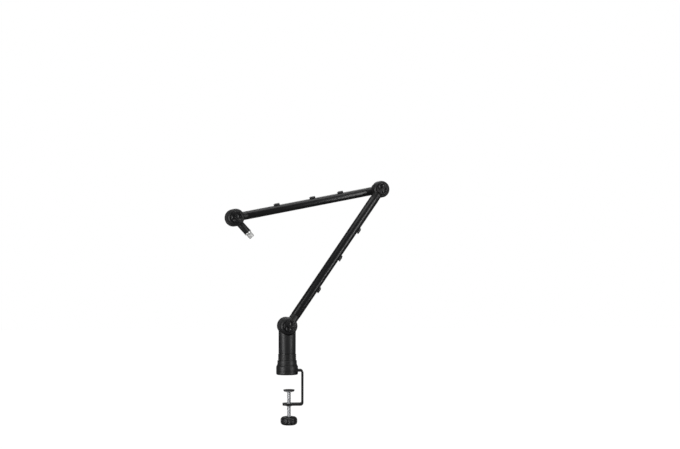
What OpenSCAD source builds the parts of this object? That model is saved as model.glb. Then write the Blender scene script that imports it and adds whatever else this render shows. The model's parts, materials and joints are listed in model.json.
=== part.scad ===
// Desk-clamp microphone boom arm: a C-clamp base with a swivelling column, two tubes
// joined by friction joints, and a swivelling, tilting holder with a 5/8" thread.
// +Z is up, the origin is the centre of the foot's underside, where it sits on a desk.
// The two tubes and the three joints lie in one upright plane, turned by arm_yaw.

/* [Arm] */
// Angle of the arm's plane from the clamp's plane
arm_yaw = 13; // [-40:1:40]
// Shoulder pivot to elbow pivot
lower_len = 451; // [380:1:520]
// Elbow pivot to head pivot
upper_len = 409; // [350:1:450]
// Lower arm above the horizontal
lower_angle = 54.85; // [15:0.05:90]
// Fold of the elbow, 0 is straight
elbow_fold = 136.65; // [0:0.05:165]
// Turn of the microphone holder, 0 points straight on from the upper arm
holder_tilt = 121.4; // [-125:0.2:125]
// Diameter of the lower tube
lower_tube_d = 25; // [22.5:0.5:25]
// Diameter of the upper tube
upper_tube_d = 22.5; // [21.5:0.5:23]
// Wall of both tubes
tube_wall = 1.6; // [1.2:0.1:2]

/* [Joints] */
// Radius of the shoulder joint
shoulder_r = 23.7; // [23.1:0.1:24]
// Radius of the elbow joint's front half
elbow_r = 22.7; // [21:0.1:24]
// Radius of the elbow joint's rear half
elbow_rear_r = 19; // [18.5:0.1:22]
// Radius of the head joint
head_r = 23.2; // [21:0.1:24]
// Thickness of each half of a joint, from the mid-plane
half_t = 25; // [24.6:0.2:28]
// Rounding of a joint's outer edge
joint_round = 8; // [6:0.5:8]
// Distance of a tube's axis from the mid-plane of the elbow and shoulder joints
tube_offset = 12.8; // [12.7:0.1:13]
// Radius of a tension knob
knob_r = 15.4; // [13:0.2:15.6]
// Angle of the shoulder knob's grip bar
shoulder_knob_angle = -39; // [-90:1:90]
// Angle of the elbow knob's grip bar
elbow_knob_angle = 42; // [-90:1:90]
// Angle of the head knob's grip bar
head_knob_angle = 100; // [0:1:180]

/* [Column] */
// Height of the shoulder pivot above the desk
shoulder_z = 129; // [126:1:150]
// Radius of the swivelling column
column_r = 22.9; // [22:0.1:23]
// Height of the seam between the fixed housing and the column
seam_z = 55; // [50:1:60]
// Radius of the base flange
flange_r = 29; // [28:0.1:32]
// Height of the base flange
flange_h = 22; // [21.5:0.5:25]
// Radius of the fixed sleeve
sleeve_r = 23.9; // [23:0.1:24.5]
// Radius of the collar under the sleeve
collar_r = 25.8; // [25:0.1:27]
// Height of the collar's top
collar_z = 37.5; // [36:0.5:38]

/* [Clamp] */
// Width of the steel strip
strip_w = 38; // [34:1:38]
// Thickness of the steel strip
strip_t = 5; // [4:0.5:6]
// Middle of the upright leg from the column's axis
leg_x = 40.6; // [38:0.2:50]
// Middle of the lower leg below the desk's surface
lower_leg_z = -78.5; // [-95:0.5:-70]
// End of the lower leg
lower_leg_end = -12; // [-16:1:-10]
// Axis of the clamp screw
screw_x = 5; // [0:0.5:10]
// Top of the pressure pad, which is the thickness of the desk it holds
pad_top_z = -40; // [-60:1:-20]
// Radius of the clamp screw
screw_r = 5; // [4:0.5:5]
// Radius of the clamp knob
clamp_knob_r = 22.4; // [18:0.2:24]

/* [Holder] */
// Radius of the microphone holder's stem
stem_r = 9.4; // [8.8:0.1:9.6]
// Head pivot to the end of the stem
stem_len = 52; // [45:1:60]
// Radius of the 5/8 inch thread
mic_thread_r = 7.94; // [7.9:0.01:8]
// Length of the 5/8 inch thread
mic_thread_len = 15; // [12:0.5:18]

/* [Hidden] */
$fn = 64;
fit = 0.05;       // radial clearance of a pressed or screwed joint
run_fit = 0.06;   // radial clearance of a turning joint

black = [0.09, 0.09, 0.10];
dark = [0.16, 0.16, 0.17];
zinc = [0.72, 0.73, 0.75];
nylon = [0.85, 0.83, 0.76];
brass = [0.78, 0.64, 0.34];
rubber = [0.13, 0.13, 0.13];

// Joint stack, measured outwards from a joint's mid-plane
face_gap = 0.5;
friction_t = 0.8;
friction_r = 17.5;
washer_z = 16;
recess_z = 18.5;
recess_r = knob_r + 0.8;
bolt_r = 4;
bolt_front_z = 22.4;
hex_z = 13;
hex_af = 13;
hex_h = 5.3;
cap_z = 19.5;
cap_r = 10;
nut_z = 19;
nut_h = 3.8;
knob_back_z = 18.9;
knob_rim_z = 28;
dish_r = knob_r - 2;
hollow_r = 12;
hollow_depth = 4.2;
grip_w = 6.2;

// Tube ends, measured along a tube from the pivot
neck_len = 34;
lower_neck_r = tube_offset - 0.7;
upper_neck_r = upper_tube_d / 2;
spigot_len = 24;
socket_flange = 1.6;
swivel_r = 7;
swivel_len = 36;
lower_bore_r = lower_tube_d / 2 - tube_wall;
upper_bore_r = upper_tube_d / 2 - tube_wall;
tube_screw_r = 2;
tube_screw_x = neck_len + 12;
tube_screw_len = 7;
head_screw_len = 3.6;

// Cable clips: distances from the elbow
lower_clip_x = [130, 221, 325];
upper_clip_x = [109, 189, 290];
clip_len = 16;
clip_h = 5.2;

// Base stack, heights above the desk
foot_h = 2;
plate_top = 8.5;
strip_z = 8.7 + strip_t / 2;
cavity_r = 17.2;
post_r = 10;
post_head_r = 14;
post_head_z = 90;
column_cavity_top = 101;
screw_square = 15.6;
strip_corner_r = 8;

function hex_r(af) = af / 2 / cos(30);

// ---- placing -------------------------------------------------------------

module arm_plane() rotate([0, 0, arm_yaw]) children();

module at_shoulder() arm_plane() translate([0, 0, shoulder_z]) children();

module along_lower() at_shoulder() rotate([0, -lower_angle, 0]) children();

module at_elbow() along_lower() translate([lower_len, 0, 0]) children();

module along_upper() at_elbow() rotate([0, -elbow_fold, 0]) children();

// The head is on the upper tube's own axis, which lies behind the elbow's mid-plane
module at_head() along_upper() translate([upper_len, tube_offset, 0]) children();

module along_stem() at_head() rotate([0, -holder_tilt, 0]) children();

// Turn a stack so that its +Z points out of a joint's front (-Y) or rear (+Y)
module front() rotate([90, 0, 0]) children();

module rear() rotate([-90, 0, 0]) children();

// Turn a stack so that its +Z points along +X
module along_x() rotate([0, 90, 0]) children();

// ---- shapes shared by the three joints -----------------------------------

// A disc whose top edge is rounded
module round_disc(r, h, f) {
    rotate_extrude()
        union() {
            square([r - f, h]);
            square([r, h - f]);
            translate([r - f, h - f]) circle(f);
        }
}

module joint_half(r) {
    translate([0, 0, face_gap]) round_disc(r, half_t - face_gap, joint_round);
}

// What the knob's side of a joint is cut out for
module front_cuts() {
    translate([0, 0, -1]) cylinder(r = bolt_r + run_fit, h = half_t);
    translate([0, 0, washer_z]) cylinder(r = 10.5, h = half_t);
    translate([0, 0, recess_z]) cylinder(r = recess_r, h = half_t);
}

// What the bolt head's side of a joint is cut out for
module rear_cuts() {
    translate([0, 0, -1]) cylinder(r = bolt_r + fit, h = half_t);
    translate([0, 0, hex_z]) cylinder(r = hex_r(hex_af + 0.2), h = half_t, $fn = 6);
    translate([0, 0, cap_z]) cylinder(r = cap_r, h = half_t);
}

module pivot_bolt() {
    color(zinc) {
        translate([0, 0, -bolt_front_z]) cylinder(r = bolt_r, h = bolt_front_z + hex_z + 0.1);
        translate([0, 0, hex_z + 0.1]) cylinder(r = hex_r(hex_af), h = hex_h, $fn = 6);
    }
}

module friction_disc() {
    color(nylon)
        translate([0, 0, -friction_t / 2])
            difference() {
                cylinder(r = friction_r, h = friction_t);
                translate([0, 0, -1]) cylinder(r = bolt_r + 0.3, h = 3);
            }
}

module rear_cap() {
    color(black)
        difference() {
            translate([0, 0, cap_z + 0.1]) round_disc(cap_r - 0.15, half_t - cap_z - 0.3, 1);
            translate([0, 0, half_t - 1]) cylinder(r = 3, h = 3);
        }
}

// A flat washer and two conical spring washers
module washer_stack() {
    color(zinc) {
        translate([0, 0, washer_z + 0.05]) flat_ring(9.5, 0.8);
        translate([0, 0, washer_z + 0.9]) cone_ring();
        translate([0, 0, washer_z + 2.6]) mirror([0, 0, 1]) cone_ring();
    }
}

module flat_ring(r, h) {
    difference() {
        cylinder(r = r, h = h);
        translate([0, 0, -1]) cylinder(r = bolt_r + 0.2, h = h + 2);
    }
}

module cone_ring() {
    rotate_extrude()
        polygon([[bolt_r + 0.2, 0.35], [8, 0], [8, 0.4], [bolt_r + 0.2, 0.75]]);
}

// A knob with a hollow on each side of a broad grip bar
module knob() {
    color(black)
        difference() {
            translate([0, 0, knob_back_z]) round_disc(knob_r, knob_rim_z - knob_back_z, 1.6);
            for (side = [0, 180])
                rotate([0, 0, side]) finger_hollow();
            translate([0, 0, knob_back_z - 1]) cylinder(r = hex_r(hex_af + 0.1), h = 5, $fn = 6);
        }
}

module finger_hollow() {
    intersection() {
        translate([0, (grip_w / 2 + dish_r) / 2, knob_rim_z - hollow_depth + hollow_r]) sphere(hollow_r);
        translate([-knob_r, grip_w / 2, 0]) cube([2 * knob_r, knob_r, 40]);
        cylinder(r = dish_r, h = 40);
    }
}

module knob_nut() {
    color(brass)
        translate([0, 0, nut_z])
            difference() {
                cylinder(r = hex_r(hex_af), h = nut_h, $fn = 6);
                translate([0, 0, -1]) cylinder(r = bolt_r + run_fit, h = nut_h + 2);
            }
}

module stack_at(angle) front() rotate([0, 0, angle]) children();

// Neck and spigot that carry a tube, along +X from the joint's axis
module neck(r, spigot_r) {
    along_x() {
        cylinder(r = r, h = neck_len);
        cylinder(r = spigot_r - fit, h = neck_len + spigot_len);
    }
}

// A screw that holds a tube on what is inside its end, from the tube's rear
module tube_screw(x, y, r, length) {
    translate([x, y + r, 0]) rotate([90, 0, 0])
        difference() {
            union() {
                translate([0, 0, -0.1]) cylinder(r = tube_screw_r + 1.2, h = 1.1);
                cylinder(r = tube_screw_r, h = length);
            }
            translate([0, 0, -1]) cylinder(r = hex_r(2.5), h = 2.4, $fn = 6);
        }
}

module tube_screw_hole(x, y, r) {
    translate([x, y + r, 0]) rotate([90, 0, 0]) {
        translate([0, 0, -2]) cylinder(r = tube_screw_r + 1.3, h = 3.05);
        cylinder(r = tube_screw_r + fit, h = tube_screw_len + 0.3);
    }
}

module tube(r, from, to) {
    translate([from, 0, 0]) along_x()
        difference() {
            cylinder(r = r, h = to - from);
            translate([0, 0, -1]) cylinder(r = r - tube_wall, h = to - from + 2);
        }
}

// A hook that holds a cable against a tube, on the tube's -Z side
module cable_clip(x, y, tube_r) {
    hook_r = clip_h + 0.6;
    color(dark)
        translate([x, y, -tube_r])
            difference() {
                union() {
                    translate([-clip_len / 2, 0, 0.6]) along_x() cylinder(r = hook_r, h = clip_len - 3.5);
                    translate([-clip_len / 2, 0, 0.6]) along_x() cylinder(r = hook_r - 1.4, h = clip_len);
                    translate([-clip_len / 2, -hook_r, 0]) cube([clip_len - 3.5, hook_r, 2.5]);
                }
                translate([-clip_len, 0, 0.4]) along_x() cylinder(r = hook_r - 2.6, h = 2 * clip_len);
                translate([-clip_len, 0.8, -hook_r + 2.4]) cube([2 * clip_len, hook_r, hook_r]);
                translate([-clip_len, 0, tube_r]) along_x() cylinder(r = tube_r + 0.1, h = 2 * clip_len);
            }
}

// ---- clamp and base ------------------------------------------------------

module strip_corner() {
    intersection() {
        difference() {
            circle(strip_corner_r);
            circle(strip_corner_r - strip_t);
        }
        square(strip_corner_r);
    }
}

module clamp_bracket() {
    out_x = leg_x + strip_t / 2;
    top_out = strip_z + strip_t / 2;
    low_out = lower_leg_z - strip_t / 2;
    corner_x = out_x - strip_corner_r;
    color(black)
        difference() {
            translate([0, strip_w / 2, 0]) rotate([90, 0, 0]) linear_extrude(strip_w) {
                translate([-20, top_out - strip_t]) square([corner_x + 20, strip_t]);
                translate([corner_x, top_out - strip_corner_r]) strip_corner();
                translate([out_x - strip_t, low_out + strip_corner_r])
                    square([strip_t, top_out - low_out - 2 * strip_corner_r]);
                translate([corner_x, low_out + strip_corner_r]) mirror([0, 1]) strip_corner();
                translate([lower_leg_end, low_out]) square([corner_x - lower_leg_end, strip_t]);
            }
            for (x = [-1, 1], y = [-1, 1])
                translate([x * screw_square, y * screw_square, 0]) cylinder(r = 2.8, h = 30);
            cylinder(r = bolt_r + 0.2, h = 30);
            translate([screw_x, 0, lower_leg_z - 10]) cylinder(r = 7.5, h = 20);
            // The lower leg's end is rounded off in plan
            for (s = [-1, 1])
                translate([lower_leg_end, s * strip_w / 2, lower_leg_z - 10])
                    difference() {
                        translate([-10, -10, 0]) cube([20, 20, 20]);
                        translate([10, -s * 10, -1]) cylinder(r = 10, h = 22);
                        translate([10, -20, -1]) cube([20, 40, 22]);
                        translate([-20, s > 0 ? -30 : 10, -1]) cube([40, 20, 22]);
                    }
        }
}

// Threaded steel insert that the clamp screw runs in
module bracket_insert() {
    color(zinc)
        translate([screw_x, 0, lower_leg_z - strip_t / 2])
            difference() {
                union() {
                    cylinder(r = 7.5 - fit, h = strip_t);
                    translate([0, 0, -2.5]) cylinder(r1 = 7.5, r2 = 9, h = 2.45);
                }
                translate([0, 0, -4]) cylinder(r = screw_r + run_fit, h = 20);
            }
}

module base_foot() {
    color(rubber) mirror([0, 0, 1]) translate([0, 0, -foot_h]) round_disc(flange_r - 1, foot_h, 0.8);
}

module plate_screw(r, head_r, length) {
    translate([0, 0, foot_h + 0.2]) {
        cylinder(r1 = head_r, r2 = r, h = head_r - r);
        cylinder(r = r, h = length);
    }
}

module base_plate() {
    color(black)
        difference() {
            translate([0, 0, foot_h]) cylinder(r = flange_r, h = plate_top - foot_h);
            for (x = [-1, 1], y = [-1, 1])
                translate([x * screw_square, y * screw_square, -0.1]) plate_screw(2.8, 5, 20);
            translate([0, 0, -0.1]) plate_screw(bolt_r + 0.3, 8.5, 40);
        }
}

module base_screws() {
    color(zinc)
        for (x = [-1, 1], y = [-1, 1])
            translate([x * screw_square, y * screw_square, 0]) plate_screw(2.5, 4.6, 17.5);
}

// A groove 1.4 mm high, centred on that height
module round_groove(z, r) {
    translate([0, 0, z - 0.7])
        difference() {
            cylinder(r = flange_r, h = 1.4);
            translate([0, 0, -1]) cylinder(r = r, h = 4);
        }
}

module base_housing() {
    color(black)
        difference() {
            rotate_extrude()
                polygon([
                    [0, plate_top + 0.05], [flange_r, plate_top + 0.05],
                    [flange_r, flange_h - 1], [collar_r, collar_z - 9], [collar_r, collar_z - 0.6],
                    [collar_r - 0.6, collar_z], [sleeve_r, collar_z],
                    [sleeve_r, seam_z - 0.6], [0, seam_z - 0.6]
                ]);
            for (k = [1:3])
                round_groove(seam_z - (seam_z - collar_z) * k / 3.25, sleeve_r - 0.7);
            round_groove(flange_h + 3, collar_r);
            translate([-20.3, -strip_w / 2 - 0.3, 0]) cube([60, strip_w + 0.6, strip_z + strip_t / 2 + 0.1]);
            translate([0, 0, strip_z]) cylinder(r = cavity_r, h = 50 - strip_z);
            cylinder(r = post_r + 0.4, h = seam_z + 5);
            for (x = [-1, 1], y = [-1, 1])
                translate([x * screw_square, y * screw_square, 0]) cylinder(r = 2.5 + fit, h = 20.2);
        }
}

// The fixed steel post that the column turns on
module swivel_post() {
    foot_z = strip_z + strip_t / 2 + 0.05;
    color(zinc)
        difference() {
            union() {
                translate([0, 0, foot_z]) cylinder(r = cavity_r - 0.2, h = 7);
                translate([0, 0, foot_z + 1]) cylinder(r = post_r, h = post_head_z - foot_z);
                translate([0, 0, post_head_z]) cylinder(r = post_head_r, h = 6);
            }
            cylinder(r = bolt_r + fit, h = 42);
        }
}

module post_bolt() {
    color(zinc) plate_screw(bolt_r, 8, 36);
}

// ---- column and shoulder -------------------------------------------------

module column() {
    color(black)
        difference() {
            union() {
                translate([0, 0, seam_z + 0.4]) cylinder(r1 = column_r - 0.8, r2 = column_r, h = 0.8);
                translate([0, 0, seam_z + 1.2]) cylinder(r = column_r, h = shoulder_z - seam_z - 1.2);
                at_shoulder() rear() joint_half(shoulder_r);
            }
            at_shoulder() front() translate([0, 0, -face_gap]) cylinder(r = shoulder_r + 0.8, h = 40);
            at_shoulder() rear() rear_cuts();
            translate([0, 0, seam_z - 1]) cylinder(r = cavity_r, h = column_cavity_top - seam_z + 1);
        }
}

module column_ring(z, h, inner) {
    translate([0, 0, z])
        difference() {
            cylinder(r = cavity_r - fit, h = h);
            translate([0, 0, -1]) cylinder(r = inner, h = h + 2);
        }
}

// The ring that fills the seam and carries the column's weight
module thrust_ring() {
    color(dark)
        translate([0, 0, seam_z - 0.55])
            difference() {
                cylinder(r = sleeve_r - 1.6, h = 0.9);
                translate([0, 0, -1]) cylinder(r = cavity_r + 0.3, h = 3);
            }
}

module column_retaining_ring() {
    color(zinc) column_ring(seam_z + 1, 8, post_r + 0.3);
}

module swivel_bush_lower() {
    color(nylon) column_ring(seam_z + 9.1, 12, post_r + run_fit);
}

module swivel_bush_upper() {
    color(nylon) column_ring(seam_z + 21.2, post_head_z - seam_z - 21.4, post_r + run_fit);
}

module shoulder_bolt() at_shoulder() rear() pivot_bolt();

module shoulder_friction_disc() at_shoulder() rear() friction_disc();

module shoulder_rear_cap() at_shoulder() rear() rear_cap();

module shoulder_washers() at_shoulder() front() washer_stack();

module shoulder_knob() at_shoulder() stack_at(shoulder_knob_angle) knob();

module shoulder_knob_nut() at_shoulder() stack_at(shoulder_knob_angle) knob_nut();

// ---- lower arm -----------------------------------------------------------

module shoulder_cup() {
    color(black)
        along_lower()
            difference() {
                union() {
                    front() joint_half(shoulder_r);
                    translate([0, -tube_offset, 0]) neck(lower_neck_r, lower_bore_r);
                }
                front() front_cuts();
                tube_screw_hole(tube_screw_x, -tube_offset, lower_tube_d / 2);
            }
}

module lower_tube() {
    color(black)
        along_lower()
            difference() {
                translate([0, -tube_offset, 0]) tube(lower_tube_d / 2, neck_len, lower_len - neck_len);
                tube_screw_hole(tube_screw_x, -tube_offset, lower_tube_d / 2);
                tube_screw_hole(lower_len - tube_screw_x, -tube_offset, lower_tube_d / 2);
            }
}

module elbow_front_cup() {
    color(black)
        at_elbow()
            difference() {
                union() {
                    front() joint_half(elbow_r);
                    translate([0, -tube_offset, 0]) mirror([1, 0, 0]) neck(lower_neck_r, lower_bore_r);
                }
                front() front_cuts();
                tube_screw_hole(-tube_screw_x, -tube_offset, lower_tube_d / 2);
            }
}

module lower_tube_screws() {
    color(zinc)
        along_lower() {
            tube_screw(tube_screw_x, -tube_offset, lower_tube_d / 2, tube_screw_len);
            tube_screw(lower_len - tube_screw_x, -tube_offset, lower_tube_d / 2, tube_screw_len);
        }
}

module lower_clip(k) {
    along_lower() cable_clip(lower_len - lower_clip_x[k], -tube_offset, lower_tube_d / 2);
}

// ---- elbow and upper arm -------------------------------------------------

module elbow_bolt() along_upper() rear() pivot_bolt();

module elbow_friction_disc() along_upper() rear() friction_disc();

module elbow_rear_cap() along_upper() rear() rear_cap();

module elbow_washers() at_elbow() front() washer_stack();

module elbow_knob() at_elbow() stack_at(elbow_knob_angle - lower_angle) knob();

module elbow_knob_nut() at_elbow() stack_at(elbow_knob_angle - lower_angle) knob_nut();

module elbow_rear_cup() {
    color(black)
        along_upper()
            difference() {
                union() {
                    rear() joint_half(elbow_rear_r);
                    translate([0, tube_offset, 0]) neck(upper_neck_r, upper_bore_r);
                }
                rear() rear_cuts();
                tube_screw_hole(tube_screw_x, tube_offset, upper_tube_d / 2);
            }
}

module upper_tube() {
    end_x = upper_len - neck_len - 0.3 - socket_flange;
    color(black)
        along_upper()
            difference() {
                translate([0, tube_offset, 0]) tube(upper_tube_d / 2, neck_len, end_x);
                tube_screw_hole(tube_screw_x, tube_offset, upper_tube_d / 2);
                tube_screw_hole(upper_len - tube_screw_x, tube_offset, upper_tube_d / 2);
            }
}

module upper_tube_screws() {
    color(zinc)
        along_upper() {
            tube_screw(tube_screw_x, tube_offset, upper_tube_d / 2, tube_screw_len);
            tube_screw(upper_len - tube_screw_x, tube_offset, upper_tube_d / 2, head_screw_len);
        }
}

module upper_clip(k) {
    along_upper() cable_clip(upper_clip_x[k], tube_offset, upper_tube_d / 2);
}

// ---- head and microphone holder ------------------------------------------

// Moulded socket in the end of the upper tube that the head swivels in
module head_socket() {
    color(dark)
        at_head()
            difference() {
                mirror([1, 0, 0]) translate([neck_len + 0.3, 0, 0]) along_x() {
                    cylinder(r = upper_tube_d / 2, h = socket_flange);
                    cylinder(r = upper_bore_r - fit, h = swivel_len);
                }
                mirror([1, 0, 0]) along_x() cylinder(r = swivel_r + run_fit, h = 100);
                tube_screw_hole(-tube_screw_x, 0, upper_tube_d / 2);
            }
}

module head_retaining_ring() {
    color(zinc)
        at_head() mirror([1, 0, 0]) translate([neck_len + swivel_len + 0.8, 0, 0]) along_x()
            difference() {
                cylinder(r = upper_bore_r - 0.4, h = 1.2);
                translate([0, 0, -1]) cylinder(r = swivel_r - 1.5 + fit, h = 4);
            }
}

module head_front_cup() {
    color(black)
        at_head()
            difference() {
                union() {
                    front() joint_half(head_r);
                    mirror([1, 0, 0]) along_x() {
                        difference() {
                            cylinder(r = upper_neck_r, h = neck_len);
                            // clear of the other half as it turns
                            rotate([-90, 0, 0])
                                translate([0, 0, -face_gap]) cylinder(r = head_r + 0.6, h = 40);
                        }
                        translate([0, 0, neck_len - 1]) cylinder(r = swivel_r, h = swivel_len + 1.5);
                        translate([0, 0, neck_len]) cylinder(r = swivel_r - 1.5, h = swivel_len + 3.5);
                    }
                }
                front() front_cuts();
            }
}

module head_washers() at_head() front() washer_stack();

module head_bolt() along_stem() rear() pivot_bolt();

module head_friction_disc() along_stem() rear() friction_disc();

module head_rear_cap() along_stem() rear() rear_cap();

module head_knob_place() {
    at_head() rotate([0, lower_angle + elbow_fold, 0]) stack_at(head_knob_angle) children();
}

module head_knob() head_knob_place() knob();

module head_knob_nut() head_knob_place() knob_nut();

// The rear half of the head joint with the stem that carries the thread
module holder_stem() {
    color(black)
        along_stem()
            difference() {
                union() {
                    rear() joint_half(head_r);
                    difference() {
                        along_x() cylinder(r = stem_r, h = stem_len);
                        front() translate([0, 0, -face_gap]) cylinder(r = head_r + 0.6, h = 40);
                    }
                }
                rear() rear_cuts();
                translate([stem_len - 18, 0, 0]) along_x() cylinder(r = 4.76 + fit, h = 40);
            }
}

// 3/8 inch stud in the stem's end
module adapter_stud() {
    color(zinc) along_stem() translate([stem_len - 17.8, 0, 0]) along_x() cylinder(r = 4.76, h = 28);
}

// 3/8 to 5/8 inch adapter with coin slots across its end
module thread_adapter() {
    end_x = stem_len + 3 + mic_thread_len;
    color(zinc)
        along_stem()
            difference() {
                translate([stem_len + 0.1, 0, 0]) along_x() {
                    cylinder(r = 10, h = 2.9);
                    cylinder(r = mic_thread_r, h = 2.9 + mic_thread_len);
                }
                along_x() cylinder(r = 4.76 + fit, h = 100);
                for (a = [0, 90])
                    rotate([a, 0, 0]) translate([end_x - 4.5, -15, -1.1]) cube([10, 30, 2.2]);
            }
}

// ---- clamp screw ---------------------------------------------------------

// Swivelling cup on the screw's tip
module pressure_pad() {
    color(zinc)
        translate([screw_x, 0, pad_top_z - 5])
            difference() {
                union() {
                    cylinder(r1 = 13, r2 = 15, h = 3);
                    translate([0, 0, -1.4]) cylinder(r = 8.4, h = 2);
                }
                translate([0, 0, -2]) cylinder(r = screw_r + 0.1, h = 3.6);
            }
}

module pad_rubber() {
    color(rubber) translate([screw_x, 0, pad_top_z - 1.95]) round_disc(15, 1.95, 0.5);
}

module clamp_screw() {
    color(zinc)
        translate([screw_x, 0, 0]) {
            translate([0, 0, -128]) cylinder(r = screw_r, h = 128 + pad_top_z - 4.5);
            translate([0, 0, pad_top_z - 4.6]) cylinder(r1 = screw_r, r2 = 3.5, h = 1);
        }
}

module clamp_knob() {
    knob_h = 22.5;
    knob_f = 9;
    color(black)
        translate([screw_x, 0, -133.5])
            difference() {
                rotate_extrude()
                    union() {
                        square([clamp_knob_r - knob_f, knob_h]);
                        translate([0, knob_f]) square([clamp_knob_r, knob_h - 2 * knob_f]);
                        translate([clamp_knob_r - knob_f, knob_f]) circle(knob_f);
                        translate([clamp_knob_r - knob_f, knob_h - knob_f]) circle(knob_f);
                    }
                for (a = [0:30:330])
                    rotate([0, 0, a]) translate([clamp_knob_r + 1.6, 0, -1]) cylinder(r = 3, h = knob_h + 2);
                translate([0, 0, 5.4]) cylinder(r = screw_r + fit, h = 30);
            }
}

clamp_bracket();
bracket_insert();
base_foot();
base_plate();
base_screws();
base_housing();
swivel_post();
post_bolt();
column();
thrust_ring();
column_retaining_ring();
swivel_bush_lower();
swivel_bush_upper();
shoulder_bolt();
shoulder_friction_disc();
shoulder_rear_cap();
shoulder_washers();
shoulder_knob();
shoulder_knob_nut();
shoulder_cup();
lower_tube();
elbow_front_cup();
lower_tube_screws();
lower_clip(0);  // lower_clip_1
lower_clip(1);  // lower_clip_2
lower_clip(2);  // lower_clip_3
elbow_bolt();
elbow_friction_disc();
elbow_rear_cap();
elbow_washers();
elbow_knob();
elbow_knob_nut();
elbow_rear_cup();
upper_tube();
upper_tube_screws();
upper_clip(0);  // upper_clip_1
upper_clip(1);  // upper_clip_2
upper_clip(2);  // upper_clip_3
head_socket();
head_retaining_ring();
head_front_cup();
head_bolt();
head_friction_disc();
head_rear_cap();
head_washers();
head_knob();
head_knob_nut();
holder_stem();
adapter_stud();
thread_adapter();
pressure_pad();
pad_rubber();
clamp_screw();
clamp_knob();
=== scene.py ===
"""Looks of a desk-clamp microphone boom arm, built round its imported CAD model.

All lengths are in metres unless a name ends in _mm. The arm is black powder-coated metal and
black moulded plastic, with a zinc-plated clamp screw and a bright microphone thread.
"""
import json
import math

import bmesh
import bpy
from mathutils import Matrix, Vector


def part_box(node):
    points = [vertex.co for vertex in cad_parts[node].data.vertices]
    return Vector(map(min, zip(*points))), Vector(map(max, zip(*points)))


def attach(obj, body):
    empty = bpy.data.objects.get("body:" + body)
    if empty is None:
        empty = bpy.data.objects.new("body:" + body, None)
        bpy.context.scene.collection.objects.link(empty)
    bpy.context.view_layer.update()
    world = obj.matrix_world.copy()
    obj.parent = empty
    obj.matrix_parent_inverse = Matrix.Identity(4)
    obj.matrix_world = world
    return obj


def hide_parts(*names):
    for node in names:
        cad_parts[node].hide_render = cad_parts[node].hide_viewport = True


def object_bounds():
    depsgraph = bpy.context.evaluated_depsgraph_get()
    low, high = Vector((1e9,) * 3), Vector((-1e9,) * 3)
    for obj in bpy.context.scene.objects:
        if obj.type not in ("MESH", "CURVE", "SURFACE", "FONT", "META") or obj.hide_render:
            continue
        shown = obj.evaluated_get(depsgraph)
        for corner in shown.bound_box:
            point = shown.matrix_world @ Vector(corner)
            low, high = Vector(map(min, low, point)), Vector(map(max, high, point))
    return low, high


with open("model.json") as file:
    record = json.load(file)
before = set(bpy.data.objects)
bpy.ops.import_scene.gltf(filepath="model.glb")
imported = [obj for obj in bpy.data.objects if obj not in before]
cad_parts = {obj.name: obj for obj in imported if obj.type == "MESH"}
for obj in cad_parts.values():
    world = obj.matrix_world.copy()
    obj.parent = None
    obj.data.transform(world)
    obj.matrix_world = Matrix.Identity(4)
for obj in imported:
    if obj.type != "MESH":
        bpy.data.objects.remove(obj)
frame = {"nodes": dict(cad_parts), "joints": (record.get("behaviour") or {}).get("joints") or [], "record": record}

CAD_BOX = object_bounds()
NODES = frame["nodes"]
JOINTS = {j["name"]: j for j in frame["joints"]}
MOUNTS = {m["name"]: m for m in frame["record"]["mounts"]}
BODY_OF = {n: body for body, nodes in frame["record"]["behaviour"]["bodies"].items() for n in nodes}
SLOT_OF = {p["node"]: p["material_slot"] for p in frame["record"]["subparts"]}
MM = 0.001
UP = Vector((0, 0, 1))


# ---- materials -----------------------------------------------------------

def new_material(name, base, roughness, metallic=0.0):
    """A Principled material, its node tree and its shader."""
    mat = bpy.data.materials.new(name)
    mat.use_nodes = True
    tree = mat.node_tree
    shader = tree.nodes["Principled BSDF"]
    shader.inputs["Base Color"].default_value = (*base, 1)
    shader.inputs["Roughness"].default_value = roughness
    shader.inputs["Metallic"].default_value = metallic
    mat.diffuse_color = (*base, 1)
    return mat, tree, shader


def noise(tree, size_mm, detail=2.0, stretch=(1, 1, 1)):
    """Fractal noise whose features are about size_mm across."""
    coordinates = tree.nodes.new("ShaderNodeTexCoord").outputs["Object"]
    mapping = tree.nodes.new("ShaderNodeMapping")
    mapping.inputs["Scale"].default_value = stretch
    tree.links.new(coordinates, mapping.inputs["Vector"])
    node = tree.nodes.new("ShaderNodeTexNoise")
    node.inputs["Scale"].default_value = 1 / (size_mm * MM)
    node.inputs["Detail"].default_value = detail
    tree.links.new(mapping.outputs["Vector"], node.inputs["Vector"])
    return node.outputs["Fac"]


def spread(tree, value, low, high):
    """Maps a noise value to low to high."""
    node = tree.nodes.new("ShaderNodeMapRange")
    node.inputs["From Min"].default_value = 0.3
    node.inputs["From Max"].default_value = 0.7
    node.inputs["To Min"].default_value = low
    node.inputs["To Max"].default_value = high
    tree.links.new(value, node.inputs["Value"])
    return node.outputs["Result"]


def colour_between(tree, value, dark, light):
    ramp = tree.nodes.new("ShaderNodeValToRGB")
    ramp.color_ramp.elements[0].position = 0.3
    ramp.color_ramp.elements[0].color = (*dark, 1)
    ramp.color_ramp.elements[1].position = 0.7
    ramp.color_ramp.elements[1].color = (*light, 1)
    tree.links.new(value, ramp.inputs["Fac"])
    return ramp.outputs["Color"]


def bump(tree, shader, height, depth_mm):
    node = tree.nodes.new("ShaderNodeBump")
    node.inputs["Distance"].default_value = depth_mm * MM
    tree.links.new(height, node.inputs["Height"])
    tree.links.new(node.outputs["Normal"], shader.inputs["Normal"])


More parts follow.
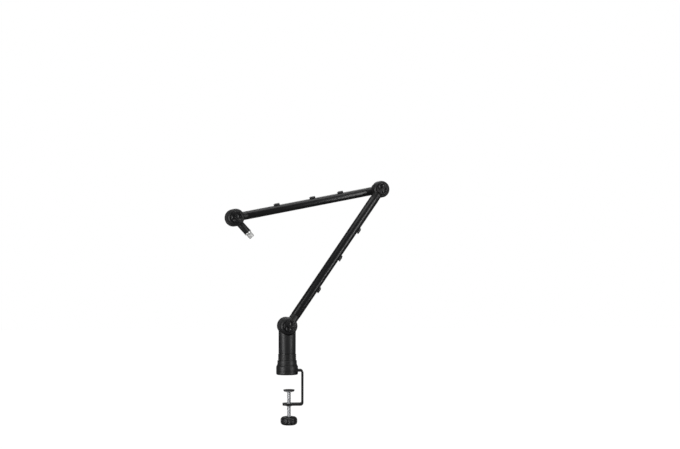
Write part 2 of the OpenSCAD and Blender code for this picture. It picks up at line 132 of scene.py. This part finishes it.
def coated(name, base, roughness, grain_mm, grain_depth_mm, specular=0.5):
    """A paint or moulded plastic: fine grain, with slow changes of tone and gloss."""
    mat, tree, shader = new_material(name, base, roughness)
    shader.inputs["Specular IOR Level"].default_value = specular
    dark = tuple(c * 0.8 for c in base)
    light = tuple(c * 1.25 for c in base)
    tree.links.new(colour_between(tree, noise(tree, 9, 3), dark, light), shader.inputs["Base Color"])
    gloss = spread(tree, noise(tree, 3, 3), roughness - 0.05, roughness + 0.05)
    tree.links.new(gloss, shader.inputs["Roughness"])
    bump(tree, shader, noise(tree, grain_mm, 2), grain_depth_mm)
    return mat


def plated(name, base, roughness, metallic=1.0, stretch=(1, 1, 1)):
    """Plated or bare metal with drawn streaks."""
    mat, tree, shader = new_material(name, base, roughness, metallic)
    streaks = noise(tree, 0.8, 3, stretch)
    dark = tuple(c * 0.82 for c in base)
    tree.links.new(colour_between(tree, noise(tree, 5, 3), dark, base), shader.inputs["Base Color"])
    tree.links.new(spread(tree, streaks, roughness - 0.07, roughness + 0.1), shader.inputs["Roughness"])
    bump(tree, shader, streaks, 0.01)
    return mat


def make_materials():
    black = (0.011, 0.0112, 0.0118)
    return {
        "black_aluminium": coated("black_powder_coat", black, 0.44, 0.35, 0.008, 0.5),
        "tube": coated("black_anodised_tube", (0.006, 0.006, 0.0068), 0.31, 0.3, 0.002, 0.5),
        "black_steel": coated("black_coated_steel", black, 0.44, 0.5, 0.02, 0.45),
        "black_plastic": coated("black_moulded_plastic", (0.011, 0.011, 0.012), 0.27, 0.45, 0.004, 0.5),
        "zinc_steel": plated("zinc_plate", (0.66, 0.67, 0.69), 0.32, 0.7, (1, 1, 0.15)),
        "bright_nickel": plated("nickel_plate", (0.97, 0.97, 0.96), 0.24, 0.3),
        "bearing_plastic": coated("bearing_nylon", (0.62, 0.6, 0.54), 0.5, 0.6, 0.01),
        "brass": plated("brass", (0.7, 0.5, 0.2), 0.3),
        "rubber": coated("black_rubber", (0.012, 0.012, 0.012), 0.75, 0.4, 0.03, 0.3),
    }


def dress(obj, mat):
    obj.data.materials.clear()
    obj.data.materials.append(mat)


# ---- mesh tools ----------------------------------------------------------

def place_on_joint(joint, degrees):
    """A frame whose +Z is the joint's axis, and whose +X is that many degrees above the level."""
    out = Vector(JOINTS[joint]["axis"]).normalized()
    level = UP.cross(out).normalized()
    a = math.radians(degrees)
    x = level * math.cos(a) + UP * math.sin(a)
    return frame_at(JOINTS[joint]["pos_m"], x, out)


def frame_at(origin, x, z):
    y = z.cross(x)
    m = Matrix((x, y, z)).transposed().to_4x4()
    m.translation = Vector(origin)
    return m


def lathe(bm, profile_mm, sides, shaped=None):
    """Turns (radius, height) points about Z. shaped(radius, angle, height) may move them."""
    rings = []
    for r, z in profile_mm:
        ring = []
        for k in range(sides):
            a = 2 * math.pi * k / sides
            rr, zz = shaped(r, a, z) if shaped else (r, z)
            ring.append(bm.verts.new((rr * MM * math.cos(a), rr * MM * math.sin(a), zz * MM)))
        rings.append(ring)
    for lower, upper in zip(rings, rings[1:]):
        for k in range(sides):
            n = (k + 1) % sides
            bm.faces.new((lower[k], lower[n], upper[n], upper[k]))


def arc(cx, cz, radius, start, end, steps):
    """Points on an arc, in degrees from the radius's direction towards the height's."""
    out = []
    for k in range(steps + 1):
        a = math.radians(start + (end - start) * k / steps)
        out.append((cx + radius * math.cos(a), cz + radius * math.sin(a)))
    return out


def thread(bm, crest, root, pitch, start, length, sides):
    """A helical ridge about Z, whose first and last rings are plain circles at the root."""
    profile = (root, root, crest, crest)
    turns = int(length / pitch) + 3
    columns = []
    for j in range(sides + 1):
        column = []
        for k in range(-4, 4 * turns):
            z = (k / 4 + j / sides) * pitch
            r = profile[k % 4]
            if z <= 0 or z >= length:
                z, r = min(max(z, 0), length), root
            a = 2 * math.pi * (j % sides) / sides
            column.append(bm.verts.new((r * MM * math.cos(a), r * MM * math.sin(a), (start + z) * MM)))
        columns.append(column)
    for left, right in zip(columns, columns[1:]):
        for k in range(len(left) - 1):
            bm.faces.new((left[k], right[k], right[k + 1], left[k + 1]))


def close_up(bm):
    """Welds a mesh made from touching rings, and caps what is still open."""
    bmesh.ops.remove_doubles(bm, verts=bm.verts, dist=1e-6)
    bmesh.ops.dissolve_degenerate(bm, edges=bm.edges, dist=1e-7)
    open_edges = [e for e in bm.edges if e.is_boundary]
    if open_edges:
        bmesh.ops.holes_fill(bm, edges=open_edges, sides=0)
    bmesh.ops.recalc_face_normals(bm, faces=bm.faces)


def finish_mesh(bm, name, placing, sharp_degrees=40):
    mesh = bpy.data.meshes.new(name)
    bm.transform(placing)
    bm.to_mesh(mesh)
    bm.free()
    mesh.shade_smooth()
    mesh.set_sharp_from_angle(angle=math.radians(sharp_degrees))
    obj = bpy.data.objects.new(name, mesh)
    bpy.context.scene.collection.objects.link(obj)
    return obj


def stands_for(obj, node, materials):
    """obj takes the CAD node's place, body and finish."""
    dress(obj, materials[SLOT_OF[node]])
    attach(obj, BODY_OF[node])
    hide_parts(node)
    return obj


def eased(node, width_mm, materials, sharp_degrees=32):
    """A copy of a CAD node with its sharp edges eased, in the CAD node's place."""
    bm = bmesh.new()
    bm.from_mesh(NODES[node].data)
    bmesh.ops.remove_doubles(bm, verts=bm.verts, dist=2e-6)
    bmesh.ops.dissolve_degenerate(bm, edges=bm.edges, dist=2e-6)
    bmesh.ops.dissolve_limit(bm, angle_limit=math.radians(0.6), verts=bm.verts, edges=bm.edges)
    limit = math.radians(sharp_degrees)
    sharp = [e for e in bm.edges if e.is_manifold and e.calc_face_angle(0) > limit]
    bmesh.ops.bevel(bm, geom=sharp, offset=width_mm * MM, offset_type="OFFSET", segments=2,
                    profile=0.6, affect="EDGES", clamp_overlap=False)
    return stands_for(finish_mesh(bm, node + "_finished", Matrix()), node, materials)


# ---- pieces --------------------------------------------------------------

def finger_hollow(x, y, bar, rim_r):
    """Depth in mm, at a point of a knob's face, of the hollow on either side of its bar."""
    ball, deepest, wall_width = 12.0, 4.2, 0.9
    inside = ball * ball - x * x - (abs(y) - (bar + rim_r) / 2) ** 2
    wall = min(abs(y) - bar, rim_r - math.hypot(x, y)) / wall_width
    if inside <= 0 or wall <= 0:
        return 0.0
    t = min(wall, 1)
    return max(math.sqrt(inside) - ball + deepest, 0) * t * t * (3 - 2 * t)


def tension_knob(node, joint, degrees, materials):
    """A knob with a knurled edge, and a hollow for a finger on each side of a broad bar."""
    back, rim, edge, face = 18.9, 27.97, 15.37, 13.3
    bar, rounding = 3.1, 1.5
    ribs, rib_height, ribs_start, ribs_end = 60, 0.22, 20.5, 26

    def shaped(r, a, z):
        if r <= face and z == rim:
            return r, z - finger_hollow(r * math.cos(a), r * math.sin(a), bar, face)
        if r > edge - 0.05 and ribs_start < z < ribs_end:
            return r - rib_height * (1 + math.cos(ribs * a)) / 2, z
        return r, z

    bm = bmesh.new()
    profile = [(3.0, back), (edge - 0.9, back), (edge - 0.3, back + 0.3), (edge, back + 1.0)]
    profile += [(edge, z) for z in (20.4, 20.8, 23.2, 25.7, 26.1)]
    profile += arc(edge - rounding, rim - rounding, rounding, 10, 85, 7)
    profile += [(13.7, rim)] + [(face - 0.3 * k, rim) for k in range(44)]
    lathe(bm, profile, 300, shaped)
    close_up(bm)
    obj = finish_mesh(bm, node + "_finished", place_on_joint(joint, degrees), 60)
    return stands_for(obj, node, materials)


def clamp_screw(materials):
    """The zinc-plated screw with its 1.5 mm thread and turned-down tip."""
    low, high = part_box("clamp_screw")
    axis = (low + high) / 2
    length = (high.z - low.z) / MM
    crest, root, tip, pitch, sides = 5.0, 4.2, 3.5, 1.5, 64
    thread_start, thread_end = 1.0, length - 2.0
    bm = bmesh.new()
    thread(bm, crest, root, pitch, thread_start, thread_end - thread_start, sides)
    lathe(bm, [(root - 0.3, 0), (root, thread_start)], sides)
    lathe(bm, [(root, thread_end), (tip, length - 1.0), (tip, length - 0.3), (tip - 0.3, length)], sides)
    close_up(bm)
    place = Matrix.Translation((axis.x, axis.y, low.z))
    return stands_for(finish_mesh(bm, "clamp_screw_finished", place, 25), "clamp_screw", materials)


def thread_adapter(materials):
    """The bright adapter: flange, 27 threads an inch, and two coin slots across its end."""
    mount = MOUNTS["mic_thread"]
    along = Vector(mount["axis"]).normalized()
    out = Vector(JOINTS["holder_tilt"]["axis"]).normalized()
    half = mount["dims"]["length_mm"] / 2
    flange, flange_r, bore, root, crest, sides = 2.9, 10, 4.85, 7.35, mount["dims"]["r_mm"], 96
    thread_start, slot_width, slot_depth = 3.6, 2.2, 4.5
    length = 2 * half + flange
    start = Vector(mount["pos_m"]) - along * (half + flange) * MM
    bm = bmesh.new()
    thread(bm, crest, root, 25.4 / 27, thread_start, length - 0.7 - thread_start, sides)
    lathe(bm, [(bore, length), (6.95, length), (root, length - 0.7)], sides)
    lathe(bm, [(root, thread_start), (root, flange + 0.15), (7.6, flange), (flange_r - 0.4, flange),
               (flange_r - 0.13, flange - 0.1), (flange_r, flange - 0.4), (flange_r, 0.4),
               (flange_r - 0.13, 0.1), (flange_r - 0.4, 0), (bore, 0)], sides)
    lathe(bm, [(bore, 0), (bore, length)], sides)
    close_up(bm)
    obj = finish_mesh(bm, "thread_adapter_finished", frame_at(start, out, along), 25)
    end = start + along * length * MM
    for turn in (0, 90):
        x = Matrix.Rotation(math.radians(turn), 3, along) @ out
        cutter_bm = bmesh.new()
        bmesh.ops.create_cube(cutter_bm, size=1)
        size = Matrix.Diagonal((3 * flange_r * MM, slot_width * MM, 2 * slot_depth * MM, 1))
        cutter = finish_mesh(cutter_bm, "slot_cutter", frame_at(end, x, along) @ size)
        cut = obj.modifiers.new("slot", "BOOLEAN")
        cut.operation = "DIFFERENCE"
        cut.solver = "EXACT"
        cut.object = cutter
        settle(obj)
        bpy.data.objects.remove(cutter)
    return stands_for(obj, "thread_adapter", materials)


def settle(obj):
    """Applies an object's modifiers to its mesh."""
    graph = bpy.context.evaluated_depsgraph_get()
    mesh = bpy.data.meshes.new_from_object(obj.evaluated_get(graph))
    obj.modifiers.clear()
    obj.data = mesh


def make_pieces(materials):
    for node, object_ in NODES.items():
        dress(object_, materials[SLOT_OF[node]])
    tension_knob("shoulder_knob", "shoulder_knob_turn", -39, materials)
    tension_knob("elbow_knob", "elbow_knob_turn", 42, materials)
    tension_knob("head_knob", "head_knob_turn", 100, materials)
    clamp_screw(materials)
    thread_adapter(materials)
    widths = {
        0.5: ["clamp_bracket", "clamp_knob", "base_plate", "column", "shoulder_cup", "elbow_front_cup",
              "elbow_rear_cup", "head_front_cup", "holder_stem"],
        0.3: ["lower_tube", "upper_tube", "lower_clip_1", "lower_clip_2", "lower_clip_3",
              "upper_clip_1", "upper_clip_2", "upper_clip_3", "bracket_insert", "pressure_pad",
              "shoulder_bolt", "elbow_bolt", "head_bolt"],
        0.15: ["base_housing", "base_screws", "lower_tube_screws", "upper_tube_screws", "head_socket"],
    }
    for width_mm, nodes in widths.items():
        for node in nodes:
            obj = eased(node, width_mm, materials)
            if node in ("lower_tube", "upper_tube"):
                dress(obj, materials["tube"])


# ---- studio --------------------------------------------------------------

def soft_light(name, place, aim, size, power):
    data = bpy.data.lights.new(name, "AREA")
    data.shape = "RECTANGLE"
    data.size, data.size_y = size
    data.energy = power
    light = bpy.data.objects.new(name, data)
    bpy.context.scene.collection.objects.link(light)
    light.location = place
    light.rotation_euler = (Vector(aim) - Vector(place)).to_track_quat("-Z", "Y").to_euler()
    light.visible_camera = False


def make_floor(height):
    """A pale floor, seen by the camera only, and low enough for the arm's lowest pose."""
    mesh = bpy.data.meshes.new("floor")
    reach = 12
    corners = [(x * reach, y * reach, height) for x, y in ((-1, -1), (1, -1), (1, 1), (-1, 1))]
    mesh.from_pydata(corners, [], [(0, 1, 2, 3)])
    floor = bpy.data.objects.new("floor", mesh)
    bpy.context.scene.collection.objects.link(floor)
    mat, tree, shader = new_material("pale_floor", (0.12, 0.12, 0.12), 0.8)
    shader.inputs["Specular IOR Level"].default_value = 0.0
    shader.inputs["Emission Color"].default_value = (1, 1, 1, 1)
    shader.inputs["Emission Strength"].default_value = 1.0
    dress(floor, mat)
    floor.visible_glossy = False
    floor.visible_diffuse = False


def make_world():
    """White behind the arm, and a dim room for what its coating mirrors."""
    world = bpy.data.worlds.new("studio")
    bpy.context.scene.world = world
    world.use_nodes = True
    tree = world.node_tree
    back = tree.nodes["Background"]
    back.inputs["Color"].default_value = (1, 1, 1, 1)
    room = tree.nodes.new("ShaderNodeBackground")
    room.inputs["Color"].default_value = (1, 1, 1, 1)
    room.inputs["Strength"].default_value = 0.14
    mix = tree.nodes.new("ShaderNodeMixShader")
    seen = tree.nodes.new("ShaderNodeLightPath").outputs["Is Camera Ray"]
    tree.links.new(seen, mix.inputs["Fac"])
    tree.links.new(room.outputs["Background"], mix.inputs[1])
    tree.links.new(back.outputs["Background"], mix.inputs[2])
    tree.links.new(mix.outputs["Shader"], tree.nodes["World Output"].inputs["Surface"])


def make_camera():
    """In front of the arm, about 3.2 m away and a little above its middle."""
    data = bpy.data.cameras.new("camera")
    camera = bpy.data.objects.new("camera", data)
    bpy.context.scene.collection.objects.link(camera)
    data.sensor_width = 36
    data.lens = 63.4
    data.clip_end = 60
    camera.location = (-0.072, -3.2, 0.2785)
    aim = Vector((0.141, 0, 0.3995))
    camera.rotation_euler = (aim - camera.location).to_track_quat("-Z", "Y").to_euler()
    bpy.context.scene.camera = camera


def round_the_arm(azimuth, height, distance):
    """A place at that azimuth from the camera's side, positive to the right."""
    a = math.radians(azimuth)
    return (distance * math.sin(a), -distance * math.cos(a), height)


def make_studio():
    make_world()
    floor_drop, middle = 0.35, (0.05, 0, 0.25)
    make_floor(CAD_BOX[0].z - floor_drop)
    soft_light("key", round_the_arm(-50, 0.15, 2.4), middle, (0.9, 2.0), 35)
    soft_light("right", round_the_arm(53, 0.3, 2.4), middle, (0.42, 2.4), 23)
    soft_light("top", (0, -0.6, 2.5), (0, 0, 0.2), (2.4, 1.6), 20)
    soft_light("back", round_the_arm(180, 2.4, 1.6), middle, (1.8, 1.4), 20)
    bpy.context.scene.view_settings.view_transform = "Standard"


make_camera()
make_pieces(make_materials())
make_studio()
